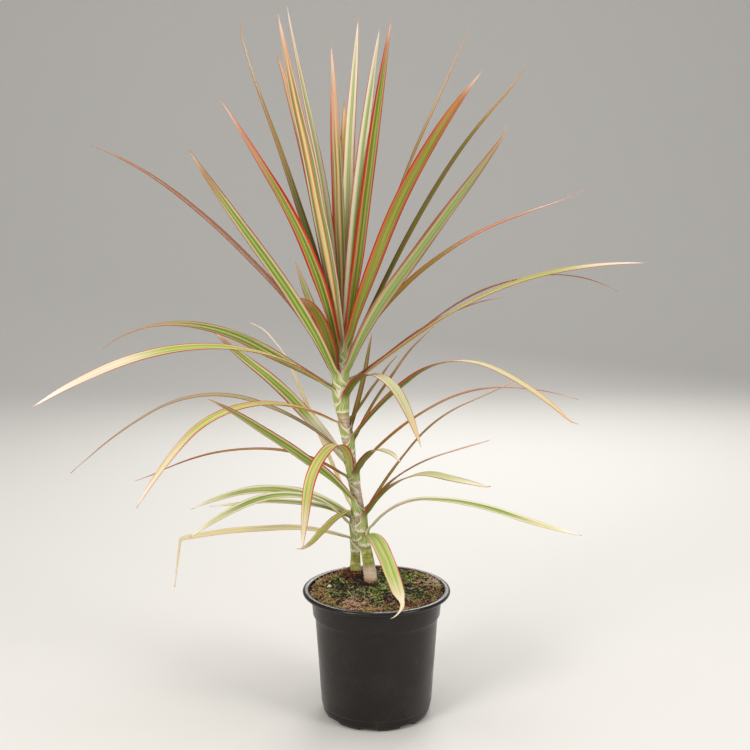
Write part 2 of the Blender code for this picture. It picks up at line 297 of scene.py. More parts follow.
rim_half = RIM_DROP / 2
inner_body = BODY_TOP_RADIUS - WALL
inner_foot = BODY_FOOT_RADIUS - WALL
pot_profile = [
    (0, FLOOR),
    (inner_foot - 1, FLOOR),
    (inner_foot, FOOT_HEIGHT),
    (inner_body, COLLAR_FOOT - COLLAR_EASE),
    (COLLAR_RADIUS - WALL, COLLAR_FOOT),
    (COLLAR_TOP_RADIUS - WALL + 0.3, COLLAR_TOP),
    (COLLAR_TOP_RADIUS, COLLAR_TOP + 2.4),
    (MOUTH_RADIUS - 0.7, MOUTH_HEIGHT),
    *arc((MOUTH_RADIUS + 1.2, MOUTH_HEIGHT + 1.2), 1.9, 1.8, 170, 100, 4),
    *arc((RIM_RADIUS - rim_half, POT_HEIGHT - rim_half), rim_half, rim_half, 90, -90, 10),
    (COLLAR_TOP_RADIUS + 2.4, POT_HEIGHT - RIM_DROP - 0.1),
    *arc((COLLAR_TOP_RADIUS + 1.4, POT_HEIGHT - RIM_DROP - 1.4), 1.3, 1.3, 90, 180, 4),
    (COLLAR_TOP_RADIUS, COLLAR_TOP),
    (COLLAR_RADIUS + 0.25, COLLAR_FOOT + COLLAR_EASE),
    *arc((COLLAR_RADIUS - 0.6, COLLAR_FOOT + 0.5), 0.7, 0.7, 0, -90, 4),
    (BODY_TOP_RADIUS + 0.35, COLLAR_FOOT - 0.35),
    (BODY_TOP_RADIUS, COLLAR_FOOT - 1.2),
    (BODY_TOP_RADIUS - 0.25, COLLAR_FOOT - 5),
    BODY_WAIST,
    (BODY_FOOT_RADIUS + 0.1, FOOT_HEIGHT + 1.2),
    (BODY_FOOT_RADIUS - 0.15, FOOT_HEIGHT + 0.2),
    (BODY_FOOT_RADIUS - 0.8, FOOT_HEIGHT - 0.3),
    *arc((FOOT_RADIUS, FOOT_HEIGHT - 1), BODY_FOOT_RADIUS - FOOT_RADIUS - 0.8, FOOT_HEIGHT - 1, 0, -90, 8),
    (FOOT_RING_RADIUS, 0),
    (HOLLOW_RADIUS + 0.4, 0.6),
    (HOLLOW_RADIUS, HOLLOW_HEIGHT),
    (0, HOLLOW_HEIGHT),
]
pot_shape = turned(pot_profile, POT_STEPS)
notch_pitch = 360 / NOTCHES
for vert in pot_shape.verts:
    turn = math.degrees(math.atan2(vert.co.y, vert.co.x)) - NOTCH_TURN
    from_notch = abs((turn + notch_pitch / 2) % notch_pitch - notch_pitch / 2)
    in_foot = vert.co.z < NOTCH_HEIGHT * MM and vert.co.xy.length > (HOLLOW_RADIUS + 0.5) * MM
    if in_foot and from_notch < NOTCH_HALF_ANGLE:
        vert.co.z = NOTCH_HEIGHT * MM
pot = placed("nursery_pot", pot_shape, black_plastic())
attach(pot, "root")
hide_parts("pot")

# Soil. Dark potting peat that fills the pot and mounds up round the stems. Moss has grown over
# it, and dry root fibre and coir stand out of it towards the edge.
SOIL_RADIUS = 54.2
SOIL_EDGE = 101.4
SOIL_RISE = 4.4
SOIL_GRID = 150
SOIL_DEPTH = 8
SKIRT_SHARE = 0.88
# Humps, and hollows with a height below nought: x, y, radius and height, in millimetres.
SOIL_HUMPS = (
    (-5, 9, 9, 2.6), (-19, 28, 10, 8.2), (-36, 12, 10, 2.4), (34, 22, 16, 3.4), (-34, -12, 12, 1.4),
    (2, -28, 12, 1.4), (-17, 4, 7, -4.2), (-24, -10, 8, -2.4), (26, -20, 8, -2.2), (12, 16, 7, -3.0),
    (40, 8, 5, -2.0),
)


def humps_at(x, y, humps):
    """The joint height at (x, y) of smooth humps."""
    return sum(
        height * math.exp(-((x - across) ** 2 + (y - back) ** 2) / radius**2)
        for across, back, radius, height in humps
    )


def soil_height(x, y):
    """The soil's height above the pot's underside, in millimetres."""
    edge = min(1, math.hypot(x, y) / SOIL_RADIUS)
    level = SOIL_EDGE + SOIL_RISE * (1 - edge**2.8) + humps_at(x, y, SOIL_HUMPS)
    clods = noise.fractal((x / 7, y / 7, 3), 0.9, 2.0, 3) * 1.5
    crumbs = noise.fractal((x / 2.2, y / 2.2, 7), 0.7, 2.0, 4) * 0.9
    calm = 1 - 0.6 * max(0, (edge - 0.85) / 0.15)
    return level + (clods + crumbs) * calm


def mossy_soil():
    made = plain_finish("mossy_soil", (0.03, 0.02, 0.012), 0.95)
    nodes = Nodes(made)
    fine = nodes.noise(nodes.place(), 900, 4, 0.7)
    crumb = nodes.noise(nodes.place(shift=(3, 1, 0)), 330, 5, 0.65)
    patch = nodes.noise(nodes.place(shift=(0.13, 0.4, 0)), 62, 4, 0.6)
    ruddy = nodes.noise(nodes.place(shift=(7, 2, 1)), 75, 3, 0.6)
    peat = nodes.ramp(crumb, (
        (0.35, tint(11, 7, 5)), (0.52, tint(24, 16, 11)),
        (0.66, tint(52, 34, 23)), (0.8, tint(112, 76, 50)),
    ))
    moss = nodes.ramp(fine, (
        (0.35, tint(13, 18, 5)), (0.52, tint(38, 52, 14)),
        (0.66, tint(92, 112, 38)), (0.8, tint(160, 170, 82)),
    ))
    coir = nodes.ramp(fine, (
        (0.35, tint(40, 24, 16)), (0.5, tint(112, 72, 50)), (0.65, tint(186, 138, 106)),
    ))
    spot = nodes.add("ShaderNodeSeparateXYZ", _0=nodes.place())
    across = spot.node.outputs[0]
    back = spot.node.outputs[1]
    squares = nodes.maths("MULTIPLY_ADD", back, back, nodes.maths("MULTIPLY", across, across))
    outward = nodes.span(nodes.maths("SQRT", squares), 0.041, 0.052)
    rimmed = nodes.maths("MULTIPLY", outward, nodes.span(ruddy, 0.42, 0.6))
    ground = nodes.mix(nodes.span(patch, 0.5, 0.58), peat, moss)
    nodes.finish(Base_Color=nodes.mix(rimmed, ground, coir))
    nodes.bump(nodes.maths("ADD", crumb, fine), 0.0009, 0.9)
    return made


soil_shape = bmesh.new()
bmesh.ops.create_grid(soil_shape, x_segments=SOIL_GRID, y_segments=SOIL_GRID, size=1)
for vert in soil_shape.verts:
    x, y = vert.co.xy
    x, y = SOIL_RADIUS * x * math.sqrt(1 - y * y / 2), SOIL_RADIUS * y * math.sqrt(1 - x * x / 2)
    vert.co = Vector((x, y, soil_height(x, y))) * MM
rim_edges = [edge for edge in soil_shape.edges if edge.is_boundary]
skirt = bmesh.ops.extrude_edge_only(soil_shape, edges=rim_edges)["geom"]
for vert in (part for part in skirt if isinstance(part, bmesh.types.BMVert)):
    vert.co.x *= SKIRT_SHARE
    vert.co.y *= SKIRT_SHARE
    vert.co.z -= SOIL_DEPTH * MM
bmesh.ops.holes_fill(soil_shape, edges=[edge for edge in soil_shape.edges if edge.is_boundary])
bmesh.ops.recalc_face_normals(soil_shape, faces=soil_shape.faces)
soil = placed("soil_mound", soil_shape, mossy_soil())
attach(soil, "root")
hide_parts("soil")

# Moss, crumbs and fibre. Short moss shoots, crumbs of peat and bark, and dry root fibres lie and
# stand on the soil, thick in some patches and bare in others. A pebble lies at the left, a flat chip of
# bark in front, and pale twig loops at the right.
LITTER_REACH = SOIL_RADIUS * 0.985
# Where the stems stand: x, y and the radius that stays clear, in millimetres.
STEM_FEET = ((-4.5, 8, 5.2), (-17.5, 26, 4.4))
# Places with more moss, and with less where the last number is below nought.
MOSS_HUMPS = (
    (-4, -28, 15, 0.7), (-32, -16, 13, 0.4), (32, 18, 14, 0.6), (4, -8, 7, 0.7), (-30, 12, 12, 0.4),
    (-15, 8, 13, -1.4), (14, -32, 10, -1.4), (-19, 28, 9, -1.0),
)


def copies(name, template, matrices, finish):
    """One joined mesh of many copies of a small shape."""
    verts = [vert.co.copy() for vert in template.verts]
    faces = [[vert.index for vert in face.verts] for face in template.faces]
    template.free()
    places = [matrix @ vert for matrix in matrices for vert in verts]
    rows = [[index + step * len(verts) for index in face] for step in range(len(matrices)) for face in faces]
    mesh = bpy.data.meshes.new(name)
    mesh.from_pydata(places, [], rows)
    mesh.materials.append(finish)
    mesh.validate()
    obj = bpy.data.objects.new(name, mesh)
    bpy.context.scene.collection.objects.link(obj)
    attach(obj, "root")


def litter_finish(name, dark, light):
    made = plain_finish(name, dark, 0.85)
    nodes = Nodes(made)
    patch = nodes.noise(nodes.place(), 400, 3, 0.6)
    nodes.finish(Base_Color=nodes.ramp(patch, ((0.35, dark), (0.68, light))))
    nodes.bump(patch, 0.0002, 0.5)
    return made


def mossy(x, y):
    """How thick the moss is at (x, y), from 0 to 1."""
    field = noise.noise((x / 11 + 4, y / 11, 2)) + 0.4 * noise.noise((x / 4, y / 4, 5))
    return min(1, max(0, 0.35 + 1.3 * (field + humps_at(x, y, MOSS_HUMPS))))


def spots(count, seed, density):
    """Seeded points on the soil, kept by a density rule, clear of the stems' feet."""
    rng = random.Random(seed)
    found = []
    while len(found) < count:
        reach = LITTER_REACH * math.sqrt(rng.uniform(0, 1))
        turn = rng.uniform(0, 2 * math.pi)
        x, y = reach * math.cos(turn), reach * math.sin(turn)
        if any(math.hypot(x - across, y - back) < clear for across, back, clear in STEM_FEET):
            continue
        if rng.random() < density(x, y):
            found.append((x, y, rng))
    return found


def moss_tuft():
    """A star of five pointed leaflets, one millimetre high."""
    shape = bmesh.new()
    for index in range(5):
        lean = Matrix.Rotation(index * 2 * math.pi / 5, 4, "Z") @ Matrix.Rotation(0.62, 4, "Y")
        leaflet = bmesh.ops.create_cone(shape, segments=3, radius1=0.2, radius2=0, depth=1, cap_ends=True)
        bmesh.ops.translate(shape, verts=leaflet["verts"], vec=(0, 0, 0.45))
        bmesh.ops.transform(shape, verts=leaflet["verts"], matrix=lean)
    shape.verts.index_update()
    return shape


def crumb():
    """A rough pebble of about one millimetre across."""
    shape = bmesh.new()
    bmesh.ops.create_icosphere(shape, subdivisions=1, radius=0.5)
    for vert in shape.verts:
        vert.co *= 1 + 0.35 * noise.noise(vert.co * 3.1)
    shape.verts.index_update()
    return shape


def fibre(turn, thickness=0.04):
    """A thin three-sided strand, bent round an arc of one millimetre radius."""
    shape = bmesh.new()
    ring = bmesh.ops.create_circle(shape, segments=3, radius=thickness, cap_ends=True)
    bmesh.ops.rotate(shape, verts=ring["verts"], matrix=Matrix.Rotation(math.pi / 2, 3, "X"))
    bmesh.ops.spin(
        shape, geom=shape.verts[:] + shape.edges[:] + shape.faces[:], cent=(1, 0, 0), axis=(0, 0, 1),
        angle=turn, steps=7, dvec=(0, 0, 0.05),
    )
    bmesh.ops.recalc_face_normals(shape, faces=shape.faces)
    shape.verts.index_update()
    return shape


def standing(x, y, rng, low, high, sink=0.1, lean=0.5):
    """A matrix that stands a shape of one millimetre on the soil, scaled and turned by chance."""
    scale = rng.uniform(low, high)
    place = Vector((x, y, soil_height(x, y) - sink * scale)) * MM
    nod = Matrix.Rotation(rng.uniform(-lean, lean), 4, "X")
    sway = Matrix.Rotation(rng.uniform(-lean, lean), 4, "Y")
    turn = Matrix.Rotation(rng.uniform(0, 2 * math.pi), 4, "Z")
    return Matrix.Translation(place) @ nod @ sway @ turn @ Matrix.Scale(scale * MM, 4)


def near_edge(x, y):
    """The coir's share at (x, y): thick along the rim, most of all at the left and in front."""
    reach = (math.hypot(x, y) - 38) / 10
    return min(1, max(0.02, reach)) * (1 if x < 5 or y < -20 else 0.45)


def near(across, back, radius):
    """A density that keeps its spots round one place."""
    return lambda x, y: humps_at(x, y, ((across, back, radius, 1),))


def everywhere(x, y):
    return 1


# Each kind's name, number, seed and two colours.
moss_kinds = (
    ("moss_dark", 1400, 11, tint(30, 44, 12), tint(92, 110, 36)),
    ("moss_fresh", 1700, 12, tint(96, 124, 40), tint(188, 200, 100)),
    ("moss_pale", 800, 13, tint(176, 184, 100), tint(236, 232, 168)),
)
for name, count, seed, dark, light in moss_kinds:
    grown = [standing(*spot, 0.9, 2.1, 0.2) for spot in spots(count, seed, mossy)]
    copies(name, moss_tuft(), grown, litter_finish(name, dark, light))
# The same, then the least and greatest size and where it lies.
crumb_kinds = (
    ("peat_crumbs", 1300, 21, tint(14, 10, 7), tint(50, 34, 24), 0.7, 2.6, everywhere),
    ("bark_crumbs", 300, 22, tint(84, 48, 30), tint(158, 108, 72), 0.6, 1.9, everywhere),
    ("pale_grit", 110, 23, tint(180, 162, 132), tint(236, 224, 196), 0.4, 1.1, everywhere),
    ("pebble", 1, 24, tint(208, 190, 150), tint(236, 224, 190), 4.2, 4.4, near(-37, -5, 1.5)),
)
for name, count, seed, dark, light, low, high, density in crumb_kinds:
    strewn = [standing(*spot, low, high, -0.1, 3.0) for spot in spots(count, seed, density)]
    copies(name, crumb(), strewn, litter_finish(name, dark, light))
chip_shape = Matrix.Diagonal((1.25, 0.8, 0.3, 1))
chips = [standing(*spot, 4, 8, -0.06, 0.2) @ chip_shape for spot in spots(3, 25, near(12, -28, 3))]
copies("bark_chips", crumb(), chips, litter_finish("bark_chips", tint(84, 38, 30), tint(132, 72, 56)))
# The same, with how far a fibre curls, in radians, after the seed.
fibre_kinds = (
    ("coir_long", 420, 31, 1.2, tint(176, 116, 74), tint(228, 182, 138), 2.2, 5.2, near_edge),
    ("coir_curled", 620, 32, 2.6, tint(150, 88, 50), tint(222, 166, 116), 1.0, 2.8, near_edge),
    ("root_threads", 280, 33, 1.7, tint(196, 168, 128), tint(244, 232, 200), 1.2, 3.4, everywhere),
    ("front_fibres", 190, 34, 1.5, tint(196, 140, 116), tint(240, 206, 182), 1.8, 4.6, near(-18, -38, 9)),
    ("rim_shreds", 110, 35, 1.1, tint(214, 180, 158), tint(248, 234, 218), 1.8, 4.4, near(49, 12, 7)),
    ("hill_fibres", 220, 36, 2.0, tint(112, 56, 30), tint(196, 118, 70), 1.0, 3.0, near(-22, 24, 8)),
)
for name, count, seed, turn, dark, light, low, high, density in fibre_kinds:
    strewn = [standing(*spot, low, high, -0.05, 0.35) for spot in spots(count, seed, density)]
    copies(name, fibre(turn), strewn, litter_finish(name, dark, light))
loops = [standing(*spot, 4.0, 5.6, -0.16, 0.3) for spot in spots(5, 37, near(39, 8, 3))]
twig_finish = litter_finish("twig_loops", tint(168, 120, 90), tint(228, 192, 156))
copies("twig_loops", fibre(5.2, 0.075), loops, twig_finish)

# Stems. Two young canes from one root ball, each ringed by the scars of leaves it has shed: pinkish
# grey where the bark is older, yellow-green near the foot and under the leaves.
STEM_STEPS = 420
STEM_SIDES = 40
STEM_FOOT = 107.3
STEM_SINK = 3
RIDGE_WIDTH = 0.42
GROOVE_WIDTH = 0.5
GROOVE_DROP = 0.9
GREEN_EASE = 4
TIP_CLOSES = 0.985
# Each row is x, y, height above the pot's underside, and radius, in millimetres.
Stem = namedtuple("Stem", "name rows")
MAIN = Stem(
    "main_stem",
    (
        (-4.5, 8, STEM_FOOT, 5.6),
        (-7.5, 8, 129, 4.7),
        (-11, 7, 146, 4.6),
        (-14, 7, 167, 4.4),
        (-19.5, 6, 201, 4.2),
        (-25, 5, 236, 4.3),
        (-28, 5, 254, 5.4),
        (-28.5, 5, 270, 6),
        (-28.2, 5, 284, 5.2),
        (-26.5, 5, 303, 3),
        (-25, 5, 330, 0.7),
    ),
)
SECOND = Stem(
    "second_stem",
    (
        (-17.5, 26, STEM_FOOT, 4.8),
        (-17.5, 24, 122, 4.1),
        (-17, 22, 136, 3.8),
        (-18, 21, 150, 3.2),
        (-19, 20, 166, 0.8),
    ),
)


def smooth_value(rows, column, height):
    """A column of a stem's rows at a height, on a smooth line through the rows (Catmull-Rom)."""
    heights = [row[2] for row in rows]
    last = len(rows) - 1
    low = min(max(bisect(heights, height) - 1, 0), last - 1)
    span = heights[low + 1] - heights[low]
    share = (height - heights[low]) / span
    before = max(low - 1, 0)
    after = min(low + 2, last)
    start_rate = (rows[low + 1][column] - rows[before][column]) / (heights[low + 1] - heights[before])
    end_rate = (rows[after][column] - rows[low][column]) / (heights[after] - heights[low])
    return (
        (2 * share**3 - 3 * share**2 + 1) * rows[low][column]
        + (share**3 - 2 * share**2 + share) * span * start_rate
        + (3 * share**2 - 2 * share**3) * rows[low + 1][column]
        + (share**3 - share**2) * span * end_rate
    )


def stem_at(stem, height):
    """The stem's centre and radius at a height, in millimetres."""
    inside = max(height, stem.rows[0][2])
    x, y, radius = (smooth_value(stem.rows, column, inside) for column in (0, 1, 3))
    return Vector((x, y, height)), radius


def smooth_step(value, low, high):
    share = min(1, max(0, (value - low) / (high - low)))
    return share * share * (3 - 2 * share)


def grid(across, along):
    """A flat grid whose x and y run from 0 to 1, with the same numbers as its UV map."""
    shape = bmesh.new()
    bmesh.ops.create_grid(shape, x_segments=across, y_segments=along, size=0.5)
    bmesh.ops.translate(shape, verts=shape.verts, vec=(0.5, 0.5, 0))
    uv_map = shape.loops.layers.uv.new("blade")
    for face in shape.faces:
        for loop in face.loops:
            loop[uv_map].uv = loop.vert.co.xy
    return shape


def scars_of(stem, seed):
    """Heights, tilts and directions of a stem's ring scars, from foot to top."""
    rng = random.Random(seed)
    height, found = stem.rows[0][2] + 1, []
    while height < stem.rows[-1][2]:
        found.append((height, rng.uniform(0.2, 0.9), rng.uniform(0, 2 * math.pi), rng.uniform(0.6, 1)))
        height += rng.uniform(2.2, 5.4)
    return found


def cane_finish(stem, foot_top, bleached):
    """Bark by height: an orange-brown foot, then grey-pink or yellow-green between its scars."""
    made = plain_finish(f"{stem.name}_bark", (0.4, 0.33, 0.24), 0.62)
    nodes = Nodes(made)
    scar = nodes.add("ShaderNodeAttribute", "Fac", attribute_name="scar")
    fresh = nodes.add("ShaderNodeAttribute", "Fac", attribute_name="fresh")
    grain = nodes.noise(nodes.place((1, 1, 0.25)), 700, 4, 0.65)
    blotch = nodes.noise(nodes.place(), 150, 4, 0.6)
    rosy = nodes.ramp(blotch, (
        (0.3, tint(172, 146, 124)), (0.5, tint(206, 184, 158)), (0.7, tint(232, 218, 194)),
    ))
    leafy = nodes.ramp(blotch, (
        (0.3, tint(104, 112, 36)), (0.5, tint(160, 164, 70)), (0.7, tint(214, 212, 132)),
    ))
    bark = nodes.mix(fresh, rosy, leafy)
    streaked = nodes.mix(nodes.span(grain, 0.42, 0.74, 0.0, 0.4), bark, tint(140, 112, 90))
    ringed = nodes.mix(nodes.maths("MULTIPLY", scar, 0.42), streaked, tint(104, 72, 52))
    height = nodes.add("ShaderNodeSeparateXYZ", "Z", _0=nodes.place())
    pale = nodes.span(height, (bleached - 4) * MM, bleached * MM, 0.5, 0.0)
    foot = nodes.span(height, (foot_top - 5) * MM, foot_top * MM, 0.85, 0.0)
    faded = nodes.mix(pale, ringed, tint(226, 200, 180))
    nodes.finish(Base_Color=nodes.mix(foot, faded, tint(160, 92, 50)))
    nodes.bump(nodes.maths("ADD", grain, blotch), 0.0003, 0.6)
    return made


def build_stem(stem, seed, green_zones, foot_top, bleached):
    """A ringed cane, swept up the stem's line and closed at both ends, pale below its bleached height."""
    shape = grid(STEM_SIDES, STEM_STEPS)
    scar_layer = shape.verts.layers.float.new("scar")
    fresh_layer = shape.verts.layers.float.new("fresh")
    scars = scars_of(stem, seed)
    heights = [scar[0] for scar in scars]
    foot, top = stem.rows[0][2] - STEM_SINK, stem.rows[-1][2]
    for vert in shape.verts:
        turn, share = vert.co.x * 2 * math.pi, vert.co.y
        height = foot + (top - foot) * share
        centre, radius = stem_at(stem, height)
        nearest = min(max(bisect(heights, height), 1), len(scars) - 1)
        away, ring_height, depth = min(
            (abs(height - at - tilt * math.cos(turn - way)), at + tilt * math.cos(turn - way), depth)
            for at, tilt, way, depth in scars[nearest - 1 : nearest + 2]
        )
        ridge = depth * math.exp(-((away / RIDGE_WIDTH) ** 2))
        groove = depth * math.exp(-(((height - ring_height + GROOVE_DROP) / GROOVE_WIDTH) ** 2))
        rough = noise.noise((math.cos(turn) * 2, math.sin(turn) * 2, height / 3 + seed))
        swell = 0.22 * ridge - 0.16 * groove + 0.12 * rough
        closing = 1 - smooth_step(share, TIP_CLOSES, 1.0)
        reach = max(radius + swell * min(1, radius / 3), 0.05) * closing
        vert[scar_layer] = groove
        vert[fresh_layer] = max(
            smooth_step(height, low - GREEN_EASE, low + GREEN_EASE)
            * (1 - smooth_step(height, high - GREEN_EASE, high + GREEN_EASE))
            for low, high in green_zones
        )
        vert.co = (centre + Vector((math.cos(turn), math.sin(turn), 0)) * reach) * MM
    bmesh.ops.remove_doubles(shape, verts=shape.verts, dist=2e-6)
    bmesh.ops.holes_fill(shape, edges=[edge for edge in shape.edges if edge.is_boundary])
    bmesh.ops.recalc_face_normals(shape, faces=shape.faces)
    piece = placed(f"{stem.name}_cane", shape, cane_finish(stem, foot_top, bleached))
    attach(piece, "root")
    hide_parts(stem.name)


build_stem(MAIN, 5, ((120, 158), (246, 330)), 112, 122)
build_stem(SECOND, 6, ((106, 166),), 111, 100)

# Leaves. Each leaf is one strap of leathery green tissue, folded shallowly along its midrib. Its
# base clasps the stem in a pale sheath, and its tip narrows to a point that often dries and curls.
# Shares are of the leaf's length, and widths at the root, base and tip of its greatest width.
ROOT_SHARE = 0.42
BASE_SHARE = 0.64
SWELL = 0.3
TAPER = 4.5
TIP_SHARE = 0.02
GAP = 0.3
THICKNESS_SHARE = 0.0105
CURL_START = 0.8
TURN_START = 0.3
FOLD_HALF = 0.012
TROUGH_ROOT = 0.42
TROUGH_LOSS = 0.26
LEAF_ACROSS = 10
LEAF_STEPS = 90
SHEATH_STEPS = 12
SHEATH_LENGTH = 11
SHEATH_SHARE = SHEATH_STEPS / LEAF_STEPS
CLASP_LENGTH = 9
CLASP_HALF_ANGLE = 46
SHEATH_WRAP = 92
RAGGED = 1.8
WITHER_STEP = 0.12
WITHERED_SHARE = 0.6
LEAF_THICKNESS = 0.45
# A leaf: height of the root on the stem, heading from +X towards +Y, length, slope above level at the
# root, at one third, at two thirds and at the tip, and width, in millimetres and degrees. turn, curl
# and fold are as in the part's own rule, and bend lifts the tip from a share of the length on. Its
# colour starts to fade towards the tip at fade, it is dry past dry, and pale up to pale.
Leaf = namedtuple(
    "Leaf",
    "height heading length slopes width turn curl fold look fade dry bend pale",
    defaults=(11, (0, 0), 0, (), "striped", 0.92, 1, (1, 0), -2),
)
# A look holds the colours from the midrib (0) to the margin (1), the flush that comes before the tip,
# the tip's own colour, and how strongly fine lines show.
Look = namedtuple("Look", "stripes flush tip lined", defaults=(1,))
SHADED_STRIPES = (
    (0, (118, 126, 46)), (0.2, (112, 120, 42)), (0.44, (98, 106, 38)), (0.66, (122, 104, 46)),
    (0.82, (158, 88, 52)), (0.94, (162, 56, 42)),
)
LOOKS = {
    "striped": Look(
        ((0, (172, 192, 92)), (0.1, (164, 186, 86)), (0.2, (112, 138, 54)), (0.42, (118, 142, 58)),
         (0.56, (196, 198, 128)), (0.74, (214, 198, 156)), (0.87, (200, 146, 116)), (0.96, (152, 68, 50))),
        (180, 124, 94), (226, 206, 172),
    ),
    "red": Look(
        ((0, (160, 180, 76)), (0.1, (154, 174, 70)), (0.22, (110, 124, 42)), (0.46, (124, 132, 48)),
         (0.58, (204, 164, 98)), (0.68, (200, 136, 80)), (0.8, (194, 82, 50)), (0.92, (180, 44, 36))),
        (212, 138, 112), (240, 212, 196),
    ),
    "ember": Look(
        ((0, (156, 162, 62)), (0.16, (146, 152, 56)), (0.3, (118, 112, 38)), (0.5, (138, 116, 44)),
         (0.66, (196, 128, 66)), (0.8, (192, 84, 48)), (0.92, (176, 46, 36))),
        (200, 122, 78), (240, 224, 210),
    ),
    "sunny": Look(
        ((0, (222, 210, 144)), (0.14, (222, 200, 140)), (0.27, (222, 178, 130)), (0.35, (200, 110, 74)),
         (0.44, (128, 142, 78)), (0.6, (110, 132, 72)), (0.74, (166, 174, 122)), (0.87, (226, 204, 182)),
         (0.97, (196, 104, 86))),
        (226, 176, 146), (238, 206, 188),
    ),
    "silver": Look(
        ((0, (160, 182, 102)), (0.1, (150, 172, 98)), (0.24, (178, 184, 134)), (0.44, (222, 220, 190)),
         (0.62, (234, 228, 208)), (0.8, (230, 216, 194)), (0.93, (188, 112, 92))),
        (232, 220, 198), (240, 232, 220),
    ),
    "sage": Look(
        ((0, (146, 180, 88)), (0.1, (138, 172, 82)), (0.22, (128, 146, 84)), (0.42, (164, 170, 116)),
         (0.6, (188, 184, 138)), (0.76, (184, 148, 110)), (0.92, (146, 88, 64))),
        (194, 146, 118), (212, 166, 138),
    ),
    "olive": Look(
        ((0, (112, 120, 40)), (0.2, (106, 114, 38)), (0.42, (76, 90, 26)), (0.7, (88, 96, 32)),
         (0.85, (132, 96, 48)), (0.95, (144, 68, 44))),
        (186, 150, 88), (226, 190, 154),
    ),
    "rosewood": Look(
        ((0, (158, 118, 82)), (0.3, (150, 104, 74)), (0.6, (142, 92, 66)), (0.9, (130, 68, 50))),
        (176, 124, 98), (218, 176, 152), 0.1,
    ),
    "ochre": Look(
        ((0, (172, 164, 98)), (0.3, (160, 150, 84)), (0.6, (150, 132, 70)), (0.85, (166, 118, 76)),
         (0.95, (154, 84, 60))),
        (212, 178, 142), (230, 204, 178), 0.35,
    ),
    "amber": Look(
        ((0, (134, 140, 52)), (0.3, (128, 126, 48)), (0.56, (164, 132, 64)), (0.78, (180, 98, 56)),
         (0.92, (166, 54, 42))),
        (206, 148, 122), (240, 216, 202), 0.3,
    ),
    "umber": Look(
        ((0, (140, 150, 88)), (0.24, (130, 140, 80)), (0.44, (190, 178, 134)), (0.66, (146, 128, 86)),
         (0.9, (148, 84, 62))),
        (182, 158, 128), (176, 108, 78), 0.5,
    ),
    "lime": Look(
        ((0, (176, 186, 98)), (0.2, (170, 182, 92)), (0.34, (146, 160, 72)), (0.56, (158, 170, 82)),
         (0.72, (206, 200, 134)), (0.86, (206, 152, 112)), (0.95, (168, 66, 50))),
        (236, 218, 198), (246, 230, 222),
    ),
    "honey": Look(
        ((0, (202, 196, 122)), (0.2, (196, 194, 116)), (0.36, (168, 178, 92)), (0.56, (188, 188, 108)),
         (0.72, (216, 202, 138)), (0.85, (208, 128, 86)), (0.95, (180, 60, 46))),
        (232, 214, 182), (244, 228, 216),
    ),
    "apricot": Look(
        SHADED_STRIPES,
        (210, 206, 164), (226, 190, 142),
    ),
    "cream": Look(
        ((0, (176, 192, 110)), (0.1, (168, 186, 102)), (0.2, (122, 150, 72)), (0.46, (130, 156, 78)),
         (0.58, (206, 208, 156)), (0.74, (238, 232, 204)), (0.9, (234, 222, 190)), (0.98, (200, 160, 134))),
        (222, 218, 174), (244, 238, 222),
    ),
    "pistachio": Look(
        SHADED_STRIPES,
        (196, 202, 144), (240, 232, 208),
    ),
    "straw": Look(
        ((0, (228, 214, 170)), (0.3, (218, 204, 158)), (0.5, (196, 188, 134)), (0.8, (234, 222, 182)),
         (0.96, (208, 174, 140))),
        (228, 208, 170), (240, 228, 206),
    ),
    "green": Look(
        ((0, (140, 154, 72)), (0.18, (132, 148, 66)), (0.32, (98, 118, 44)), (0.66, (104, 122, 46)),
         (0.8, (196, 184, 124)), (0.93, (158, 78, 58))),
        (180, 146, 112), (196, 154, 126),
    ),
    "front": Look(
        ((0, (206, 204, 126)), (0.08, (200, 200, 122)), (0.16, (158, 178, 94)), (0.5, (166, 186, 102)),
         (0.72, (180, 192, 114)), (0.86, (216, 200, 144)), (0.96, (198, 120, 90))),
        (222, 208, 168), (244, 228, 208),
    ),
}
LINE_PALE = (228, 216, 168)
LINE_DARK = (92, 106, 46)
SHEATH_GREEN = (128, 156, 74)
SHEATH_CREAM = (212, 214, 152)
SHEATH_WHITE = (236, 230, 208)
SHEATH_SHADE = (96, 84, 50)
TIP_BROWN = (190, 156, 126)
SHEEN = 0.1


def slope_at(leaf, share):
    """The leaf's slope in degrees at a share of its length: three arcs, one after another."""
    third = min(2, int(3 * share))
    start, end = leaf.slopes[third], leaf.slopes[third + 1]
    slope = start + (end - start) * (3 * share - third)
    if leaf.fold:
        crease, drop = leaf.fold
        slope -= drop * smooth_step(share, crease - FOLD_HALF, crease + FOLD_HALF)
    return slope


def turn_at(leaf, share):
    """How far the blade is turned about its own line, in degrees: one turn near its root, one at its tip."""
    early, late = leaf.turn
    past_root = max(0, share - TURN_START) / (1 - TURN_START)
    return early * min(1, share / TURN_START) + (late - early) * past_root


def width_share(share):
    """How wide the blade is along its length, against its widest."""
    swelling = BASE_SHARE + (1 - BASE_SHARE) * smooth_step(share, -0.05, SWELL)
    return max(TIP_SHARE, swelling * (1 - share**TAPER))


